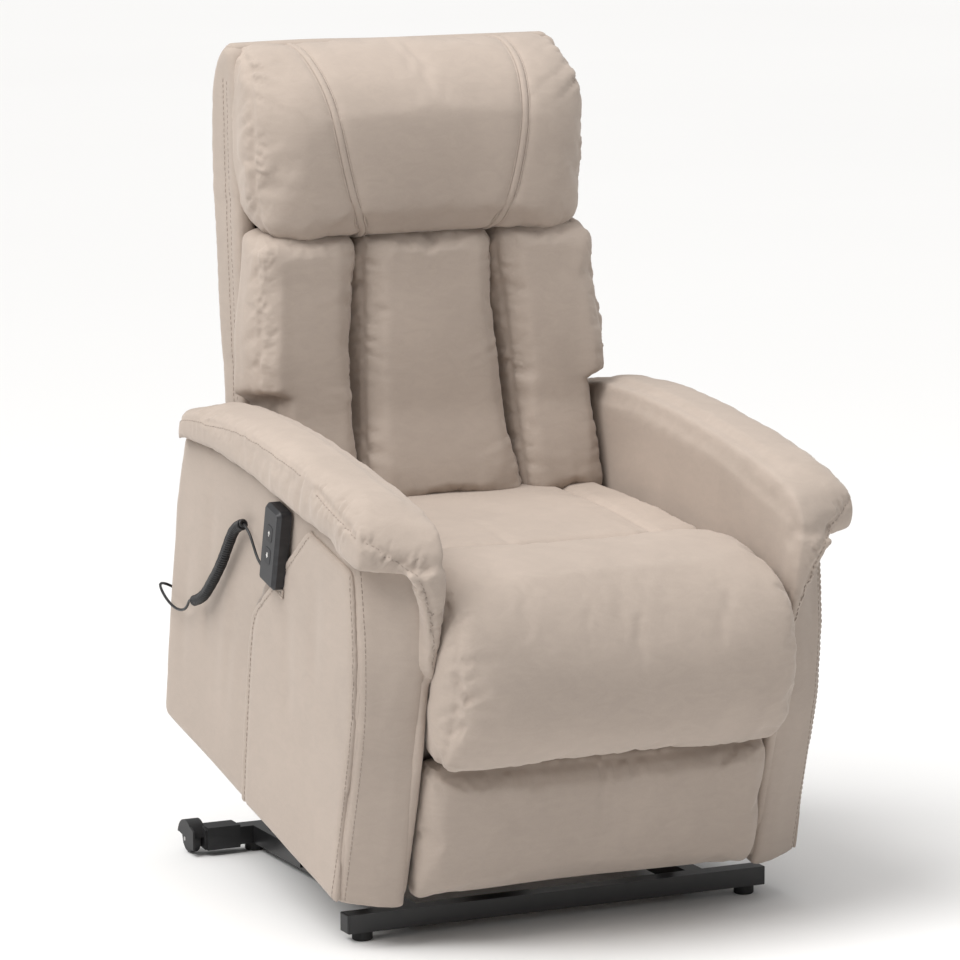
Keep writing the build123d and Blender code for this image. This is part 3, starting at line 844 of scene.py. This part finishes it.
def back_channels():
    """Three upright channels; the cloth is gathered into the seams between them."""
    outline = ([(478, 356)] + CUSHION_FRONT[1:] + [(628, 704), (714, 704)]
               + CUSHION_REAR[::-1][1:] + [(596, 346)])
    seam_x = 107
    spans = (("left", -252, -seam_x), ("center", -seam_x, seam_x), ("right", seam_x, 252))

    def seams_apart(co):
        """The seams stand further apart towards the seat."""
        moved = np.interp(co[:, 2], [350, 700], [127, 104])
        size = np.abs(co[:, 0])
        outer = moved + (size - seam_x) * (252 - moved) / (252 - seam_x)
        co[:, 0] = np.sign(co[:, 0]) * np.where(size < seam_x, size * moved / seam_x, outer)
        return co

    def ears(co):
        over_arm = np.interp(co[:, 1], [445, 567, 664], [526, 500, 459])
        out = ease((co[:, 2] - over_arm) / 14) * 24 - 16 * ease((co[:, 2] - 540) / 160)
        share = np.clip((np.abs(co[:, 0]) - seam_x) / 140, 0, 1)
        co[:, 0] += np.sign(co[:, 0]) * out * share
        co[:, 1] -= 7 * ease((np.abs(co[:, 0]) - 215) / 50) * ease((co[:, 2] - 500) / 30)
        return co

    for number, (name, x0, x1) in enumerate(spans):
        seed = 10 * number

        def hollow(loop, x):
            away = min(abs(abs(x) - seam_x), 40.0) / 40.0
            loop[:, 0] += 10 * (1 - away) ** 2 * (loop[:, 0] < np.interp(
                loop[:, 1], [352, 694], [560, 668]))
            return loop

        pad = skin("back_channel_" + name, [slab(outline, x0, x1, 16, 3, 16, hollow, 13)], CELL, 5)
        inflate(pad, 7, 4.0, 0.016, behind(CUSHION_FRONT, 62))
        reshape(pad, seams_apart)
        reshape(pad, ears)
        edges = []
        for x, inner in ((x0, 1), (x1, -1)):
            line = seams_apart(np.array([(x + 3 * inner, u + 16, v) for u, v in CUSHION_FRONT]))
            edges.append(line)
        top = [(x0 + 8, 640, 698), ((x0 + x1) / 2, 630, 700), (x1 - 8, 640, 698)]
        bottom = [(x0 + 8, 486, 360), ((x0 + x1) / 2, 480, 357), (x1 - 8, 486, 360)]
        refine(pad, edges + [top, bottom])
        for k, edge in enumerate(edges):
            seam(pad, edge, 2.5, 6, 3.0, 24, 27, seed + k, lean=0.3)
        seam(pad, top, 2.0, 8, 2.6, 24, 26, seed + 5)
        seam(pad, bottom, 2.0, 8, 2.8, 30, 30, seed + 8)
        for s in (-1, 1):
            if s * (x0 + x1) > 0:
                ear = on_side(s, [(268, 610, 484), (248, 572, 500), (228, 556, 502)])
                seam(pad, ear, 4.0, 9, 2.0, 24, 18, seed + 9, taper=12)
        crumple(pad, 1.4, 100, seed)
        place(pad, "backrest", FABRIC, "suede_cushions", 0.65, ["back_cushion_" + name])


def head_cushion():
    """One wide cushion over the top of the back, crossed by two narrow bands."""
    outline = [(622, 698), (630, 745), (650, 830), (668, 884), (702, 922), (762, 940), (824, 942),
               (822, 905), (776, 828), (752, 745), (718, 700)]

    def narrow(loop, x):
        loop[:, 0] += 16 * ease((abs(x) - 185) / 60) * (loop[:, 0] < 740)
        return loop

    pad = skin("head_pad", [slab(outline, -BACK_HALF, BACK_HALF, 20, 4, 30, narrow, 15)], CELL, 6)
    front = [(622, 700), (632, 760), (650, 835), (668, 885), (700, 922), (762, 960)]
    inflate(pad, 10, 4.5, 0.016, behind(front, 92))

    def shoulders(co):
        co[:, 0] *= np.interp(co[:, 2], [700, 730, 790, 860, 905, 942],
                              [0.955, 1.008, 1.038, 1.034, 1.02, 0.98])
        return co

    reshape(pad, shoulders)
    bands = []
    sides = []
    for s in (-1, 1):
        bands.append(on_side(s, [(101, 690, 698), (101, 640, 699), (106, 620, 722),
                                 (124, 630, 770), (140, 648, 835), (150, 674, 894),
                                 (157, 712, 932), (160, 768, 945), (161, 820, 946)]))
        sides.append(on_side(s, [(236, 660, 706), (250, 664, 735), (262, 676, 790),
                                 (262, 690, 850), (256, 712, 895), (247, 748, 926),
                                 (240, 800, 938)]))
    under = [(-232, 650, 704), (-120, 640, 699), (0, 634, 698), (120, 640, 699), (232, 650, 704)]
    refine(pad, sides + [under])
    refine(pad, bands, 16)
    for k, side in enumerate(sides):
        seam(pad, side, 3.0, 7, 4.4, 36, 26, 40 + k, lean=0.5)
    seam(pad, under, 2.0, 8, 2.2, 26, 34, 60)
    crumple(pad, 1.6, 120, 3)
    parts = []
    for band in bands:
        seam(pad, band, 5.6, 10.0)
        line, facing = (steady(rows) for rows in trace(pad, band))
        parts.append(tube(line + facing * 1.8, 5.4, 10, facing, 0.58))
        across = np.cross(np.gradient(line, axis=0), facing)
        across /= np.linalg.norm(across, axis=1, keepdims=True)
        for side in (-1, 1):
            parts.append(tube(line + across * side * 6.6 + facing * 2.1, 1.6, 6, facing))
    place(pad, "backrest", FABRIC, "suede_cushions", 0.8, ["head_cushion"])
    place(new_object("head_bands", *joined(parts)), "backrest", FABRIC, "suede_cushions")


GUSSET_FRONT = [(588, 345), (628, 430), (669, 562), (705, 672), (727, 745), (747, 820),
                (770, 895)]
GUSSET = GUSSET_FRONT + [(800, 938), (826, 934), (846, 908), (850, 864), (836, 785), (819, 719),
                         (791, 646), (753, 540), (725, 470), (709, 420), (686, 345)]


def back_sides():
    thread = []
    for name, s in (("left", -1), ("right", 1)):
        panel = skin("back_gusset_" + name, [slab(GUSSET, s * 226, s * 257, 6, 1, 12)],
                     PANEL_CELL, 4)
        front = [(s * 257, u + 34, v) for u, v in GUSSET_FRONT]
        seam(panel, front, 1.6, 6, 1.6, 24, 44, 70 + s)
        crumple(panel, 1.6, 120, 4 + s)
        place(panel, "backrest", FABRIC_PANEL)
        for shift in (27, 41):
            thread.append(("back_gusset_" + name,
                           [(s * 258, u + shift, v) for u, v in GUSSET_FRONT[1:]]))
    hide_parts("back_gussets")
    stitching("back_stitching", "backrest", thread)


def rear_cover():
    inner = [(660, 309), (685, 374), (705, 422), (721, 472), (749, 542), (787, 648), (815, 721),
             (832, 786), (838, 850), (826, 896), (800, 916), (806, 942), (830, 938)]

    cover = skin("back_cover", [slab(COVER_REAR + inner[::-1], -250, 250, 5, 0, 8)],
                 PANEL_CELL, 5)
    for s in (-1, 1):
        seam(cover, [(s * 243, u - 1, v) for u, v in COVER_REAR[:-1]], 2.0, 8, 1.6, 30, 60, 80 + s)
    crumple(cover, 2.0, 150, 6)
    place(cover, "backrest", FABRIC_PANEL, replaces=["back_rear_cover"])

    sheet = [(646, 200), (664, 204), (668, 250), (690, 330), (682, 340), (664, 322), (652, 262)]
    flap = skin("back_flap", [slab(sheet, -244, 244, 4, 0, 4)], PANEL_CELL, 4)
    place(flap, ("body", "backrest", at(0, 655, 235), at(0, 676, 315)), FABRIC_PANEL)

    panel = [(643, 4), (656, 4), (657, 128), (656, 252), (643, 252)]
    rear = skin("rear_cover_panel", [slab(panel, -262, 262, 6, 0, 5)], PANEL_CELL, 4)
    crumple(rear, 2.0, 160, 9)
    place(rear, "body", FABRIC_PANEL, replaces=["rear_panel"])


# ------------------------------ seat and legrest
SEAT = [(140, 424), (300, 400), (548, 350), (576, 340), (576, 276), (140, 276)]
CHAISE = [(164, 430), (112, 446), (50, 455), (-20, 453), (-66, 441), (-98, 410), (-113, 360),
          (-118, 315), (-111, 262), (-84, 220), (-44, 207), (-2, 210), (-2, 296), (10, 345),
          (160, 345)]
LOWER_PAD = [(-1, 212), (-40, 214), (-58, 196), (-62, 150), (-61, 95), (-55, 45), (-40, 12),
             (-1, 8)]


def seat():
    pad = skin("seat_pad", [slab(SEAT, -SEAT_HALF, SEAT_HALF, 14, 0, 12)], CELL, 4)
    inflate(pad, 9, 3.5, 0.014, lambda co: co[:, 2] < np.interp(co[:, 1], [150, 566], [395, 318]))
    sides = []
    for s in (-1, 1):
        sides.append(on_side(s, [(168, 150, 428), (172, 260, 412), (176, 380, 388),
                                 (178, 500, 362), (178, 560, 348)]))
    refine(pad, sides, 30)
    for k, side in enumerate(sides):
        seam(pad, side, 3.0, 34)
        seam(pad, side, 6.0, 7, 1.8, 26, 46, 100 + k)
    front = [(-250, 168, 424), (-168, 172, 427), (0, 168, 429), (168, 172, 427), (250, 168, 424)]
    seam(pad, front, 7.0, 12, 2.6, 40, 34, 104)
    for s in (-1, 1):
        seam(pad, on_side(s, [(250, 180, 420), (251, 380, 384), (250, 556, 346)]), 5.0, 12, 1.5,
             20, 40, 106 + s)
    crumple(pad, 2.2, 110, 12)
    place(pad, "body", FABRIC, "suede_cushions", 0.7, ["seat_cushion"])


def chaise():
    """The long front pad: it rolls over the seat's front edge and down the legrest."""
    pad = skin("chaise_pad", [slab(CHAISE, -SEAT_HALF + 1, SEAT_HALF - 1, 26, 3, 24, None, 13)],
               CELL, 6)
    inflate(pad, 10, 4.0, 0.014, lambda co: (co[:, 1] > -8) & (co[:, 2] < 410))

    def waist(co):
        """Narrower where the arms' tongues hold it, full again lower down."""
        co[:, 0] *= np.interp(co[:, 2], [205, 235, 300, 380, 440],
                              [0.965, 0.992, 0.995, 0.988, 0.982])
        return co

    reshape(pad, waist)
    lower = [(-244, -30, 214), (-200, -58, 214), (0, -66, 213), (200, -58, 214), (244, -30, 214)]
    edges = []
    for s in (-1, 1):
        edges.append(on_side(s, [(250, -20, 444), (252, -70, 420), (254, -94, 372),
                                 (255, -98, 318), (253, -88, 262), (244, -56, 222)]))
    refine(pad, [lower] + edges)
    seam(pad, lower, 3.0, 10, 2.8, 26, 26, 110)
    for k, edge in enumerate(edges):
        seam(pad, edge, 2.5, 7, 2.6, 22, 28, 112 + k)
    for k, (x0, x1) in enumerate(((-250, -190), (250, 200))):
        fold(pad, [(x0, -84, 236 + 90 * (1 - k)), ((x0 + x1) / 2, -104, 240 + 86 * (1 - k)),
                   (x1, -112, 252 + 80 * (1 - k))], 4.0, 9, 26)
    crumple(pad, 2.4, 150, 15)
    place(pad, ("body", "legrest", at(0, -30, 435), at(0, -90, 335)), FABRIC, "suede_cushions",
          0.85, ["seat_front_roll", "legrest_pad_upper"])


def lower_pad():
    pad = skin("legrest_pad", [slab(LOWER_PAD, -SEAT_HALF + 2, SEAT_HALF - 2, 14, 0, 16)], CELL, 5)
    inflate(pad, 6, 3.5, 0.014, lambda co: co[:, 1] > -10)
    top = [(-246, -44, 206), (-120, -54, 208), (0, -56, 208), (120, -54, 208), (246, -44, 206)]
    refine(pad, [top], 34)
    seam(pad, top, 2.5, 9, 3.4, 36, 30, 120)
    for x, lean_x in ((-150, 14), (60, -10), (170, 8)):
        fold(pad, [(x, -60, 196), (x + lean_x, -64, 150), (x + 2 * lean_x, -63, 104)], 1.8, 12)
    crumple(pad, 2.0, 120, 18)
    place(pad, "legrest", FABRIC, "suede_cushions", 0.7, ["legrest_pad_lower"])


# ------------------------------ arms
ARM_PAD = [(45, 480), (52, 484), (73, 488), (229, 481), (377, 472), (492, 460), (640, 427),
           (668, 421), (682, 432), (664, 455), (567, 496), (445, 522), (343, 538), (226, 550),
           (110, 557), (30, 558), (-20, 550), (-46, 528), (-54, 505), (-46, 484)]
ARM_INNER = [(-30, 12), (-36, 120), (-40, 245), (-36, 345), (-38, 430), (-36, 520), (200, 530),
             (420, 510), (560, 470), (640, 430), (653, 320), (650, 229), (644, 123), (630, 12)]
# tongue at the arm's inner edge: height, its inner and outer |x| and how far it stands forward
TONGUE = ((338, 257, 262, -48), (362, 257, 268, -54), (396, 257, 273, -57), (430, 257, 280, -59),
          (462, 257, 292, -59), (500, 257, 316, -56))
LIP_DEPTH = 44.0        # how far the pad's outer corner stands behind its inner one
ARM_EDGE = 366.0
# top of the flat band that runs below the pad's gathered top
STRIPE = [(40, 540), (97, 546), (198, 546), (333, 534), (437, 518), (599, 470), (650, 440)]


def swept_back(side_x):
    """How far the arm's front lies back at |x|: it slants from the inner edge outwards."""
    return LIP_DEPTH * np.clip((side_x - 262) / 100, 0, 1)


def stripe_height(u):
    us, vs = zip(*STRIPE)
    return np.interp(u, us, vs)


def arm_pad(name, s):
    """The padded top and inner face of an arm, in one cover that ends in a tongue."""
    def shape(loop, x):
        """Slants the front, and rounds the crown down to the band on the outer side."""
        crown = stripe_height(loop[:, 0]) - 6
        over = np.clip((abs(x) - 312) / 56, 0, 1)
        high = loop[:, 1] > crown
        loop[:, 1] = np.where(high, crown + (loop[:, 1] - crown) * math.sqrt(1 - over ** 2.4 * 0.9),
                              loop[:, 1])
        near_front = np.clip(1 - (loop[:, 0] + 50) / 190, 0, 1)
        loop[:, 0] += swept_back(abs(x)) * near_front
        rear_end = 682 - 68 * np.clip((abs(x) - 296) / 70, 0, 1) ** 2
        loop[:, 0] = np.minimum(loop[:, 0], rear_end)
        return loop

    pad = slab(ARM_PAD, s * 262, s * ARM_EDGE, 5, 0, 12, shape, 17)
    face = slab(ARM_INNER, s * 258, s * 276, 7, 0, 12)
    tongue = loft([np.array([(s * x0, -28, v), (s * x1, -28, v), (s * x1, u * 0.7 - 12, v),
                             (s * (x0 + x1) / 2, u, v), (s * x0, u * 0.8 - 9, v)])
                   for v, x0, x1, u in TONGUE])
    cover = skin("arm_cover_" + name, [pad, face, tongue], CELL, 6)
    inflate(cover, 4, 3.5, 0.016,
            lambda co: (co[:, 2] < 330) | ((np.abs(co[:, 0]) > 300) & (co[:, 2] < 486)))
    band = on_side(s, [(367, 150, 541), (366, 84, 536), (360, 34, 529), (346, 4, 519),
                       (326, -22, 513), (306, -42, 500), (291, -54, 478), (281, -58, 448),
                       (275, -58, 414)])
    lip = on_side(s, [(362, 56, 486), (346, 30, 484), (326, 8, 482), (308, -14, 476),
                      (294, -36, 458), (284, -48, 430)])
    stripe = [(s * 368, u, v) for u, v in STRIPE[2:]][::-1]
    tongue_seam = on_side(s, [(275, -58, 414), (270, -56, 385), (264, -52, 350)])
    refine(cover, [band, lip, stripe, tongue_seam], 24)
    seam(cover, band, 2.6, 4.5, 4.0, 22, 15, 134 + s, lean=0.3)
    seam(cover, stripe, 1.8, 4.5, 1.0, 16, 30, 138 + s)
    seam(cover, tongue_seam, 1.2, 4, 1.6, 14, 16, 140 + s)
    seam(cover, on_side(s, [(368, 196, 538), (368, 197, 486)]), 2.0, 3.5)
    seam(cover, [(s * 367, u, v + 4) for u, v in PAD_SEAM[2:]], 0.0, 6, 1.6, 16, 16, 142 + s)
    crumple(cover, 1.6, 130, 20 + s)
    place(cover, "body", FABRIC, "suede_cushions", 0.75, ["arm_pad_" + name])
    beside = [(x, u, v - 4) for x, u, v in stripe]
    return [beside, [(x, u - 1, v - 5) for x, u, v in band], tongue_seam]


def front_u(v):
    vs = [point[1] for point in ARM_FRONT]
    return float(np.interp(v, vs, [point[0] for point in ARM_FRONT]))


def arm_panels(name, s):
    side = slab(ARM_FRONT + PAD_SEAM[1:] + ARM_REAR, s * 330, s * (ARM_OUT + 1), 6, 0, 10)
    outer = skin("arm_side_" + name, [side], PANEL_CELL, 3)
    for k, (u0, v0, u1, v1) in enumerate(((520, 430, 500, 120), (440, 380, 430, 60),
                                          (590, 300, 580, 60), (390, 260, 392, 40))):
        fold(outer, [(s * 346, u0, v0), (s * 346, (u0 + u1) / 2 + 6, (v0 + v1) / 2),
                     (s * 346, u1, v1)], (2.0, -1.8, 1.6, -1.6)[k], 17, 90)
    crumple(outer, 1.8, 150, 24 + s)
    place(outer, "body", FABRIC_PANEL, replaces=["arm_outer_" + name])

    sections = []
    for v in (2, 6, 30, 120, 245, 345, 400, 440, 470, 500, 530):
        u = front_u(v) + max(0, v - 480) * 0.5
        pull = 4.0 if v == 2 else 0.0
        sections.append(np.array([
            (s * (345 - pull), 60, v), (s * (345 - pull), u + 3, v), (s * (341 - pull), u - 3, v),
            (s * 322, u * 0.8 - 13 + pull, v), (s * 296, u * 0.4 - 27 + pull, v),
            (s * (270 + pull), u * 0.12 - 35 + pull, v), (s * (263 + pull), -30, v),
            (s * (263 + pull), 60, v)]))
    panel = skin("arm_front_" + name, [loft(sections)], FINE_CELL, 3)
    crumple(panel, 1.6, 90, 28 + s)
    place(panel, "body", FABRIC_PANEL)


POCKET = [(-2, 3), (327, 3), (334, 77), (342, 148), (349, 231), (344, 282), (192, 463), (50, 463),
          (36, 430), (10, 345), (-4, 245), (2, 120)]
POCKET_EDGE = [(328, 6), (335, 77), (343, 148), (350, 231), (344, 282), (300, 334), (246, 398),
               (192, 463)]


def pocket(name, s):
    """The front part of the arm's side: it overlaps the rear part and opens as a pocket."""
    panel = skin("side_pocket_" + name, [slab(POCKET, s * 341, s * 352, 4, 0, 8)],
                 FINE_CELL, 2)
    hem = [(s * 352, u - 4, v) for u, v in POCKET_EDGE]
    refine(panel, [hem], 18)
    seam(panel, hem, -2.2, 5)
    seam(panel, [(x, u - 10, v) for x, u, v in hem], 1.4, 4, 1.0, 16, 28, 150 + s)
    for x, u, v, bottom_u, bottom_v in ((352, 236, 380, 190, 150), (352, 150, 445, 120, 230)):
        fold(panel, [(s * x, u, v), (s * x, (u + bottom_u) / 2 + 4, (v + bottom_v) / 2),
                     (s * x, bottom_u, bottom_v)], 1.8, 18, 80)
    crumple(panel, 1.3, 120, 32 + s)
    place(panel, "body", FABRIC_PANEL)

    # the mouth's lining, crumpled behind the diagonal hem: its darker cloth is painted shade inside the pocket's
    # mouth; and the elastic band along its top
    lining = skin("lining_and_mouth_shade_" + name,
                  [slab([(246, 352), (306, 348), (346, 284), (340, 276)], s * 342, s * 349.5, 3, 0,
                        5)], 4.0, 2)
    crumple(lining, 3.2, 22, 36 + s)
    place(lining, "body", LINING_AND_MOUTH_SHADE)
    ribs = []
    for k in range(0, 62):
        u = 246 + k
        ribs.append((s * (352.0 + 1.3 * math.sin(k * 1.15) + 0.5 * math.sin(k * 0.37)), u,
                     351.5 + 0.05 * k))
    band_line = np.array(ribs)
    facing = np.tile([s, 0.0, 0.0], (len(band_line), 1))
    rows = [tube(band_line + np.array([0, 0, dv]), 2.7, 8, facing, 0.9) for dv in (-7.5, -3.5, 0.5)]
    place(new_object("pocket_elastic_" + name, *joined(rows)), "body", FABRIC, "suede_panels")


def arms():
    thread = []
    for name, s in (("left", -1), ("right", 1)):
        lines = arm_pad(name, s)
        thread += [("arm_cover_" + name, line) for line in lines]
        arm_panels(name, s)
        pocket(name, s)
        corner = [(s * 353, u + 10, v) for u, v in ARM_FRONT[:-1]] + [(s * 353, 50, 458)]
        thread.append(("side_pocket_" + name, corner))
        thread.append(("side_pocket_" + name, [(s * 353, u - 13, v) for u, v in POCKET_EDGE]))
        thread.append(("arm_front_" + name,
                       [(s * 338, front_u(v) - 3, v) for v in (6, 60, 120, 245, 345, 420, 476)]))
    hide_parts("arm_inners")
    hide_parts("arm_fronts")
    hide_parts("side_pockets")
    stitching("arm_stitching", "body", thread)


def button_arrows():
    """A raised arrow on each of the handset's two keys."""
    for name, turn in (("up", 1), ("down", -1)):
        low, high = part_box("handset_button_" + name)
        middle = (low + high) / 2
        face = low.x * 1000
        shape = [(-3.2, -0.6), (0.0, 3.6), (3.2, -0.6), (1.1, -0.6), (1.1, -4.2), (-1.1, -4.2),
                 (-1.1, -0.6)]
        inverse = BODY_MATRIX.inverted()
        centre = np.array(inverse @ middle) / MM
        sections = [np.array([(x, centre[1] + a, centre[2] + turn * b) for a, b in shape])
                    for x in (face - 0.5, face + 0.6)]
        place(new_object("arrow_" + name, *loft(sections)), "button_" + name, PRINT,
              "button_plastic")


button_arrows()
back_channels()
head_cushion()
back_sides()
rear_cover()
seat()
chaise()
lower_pad()
arms()
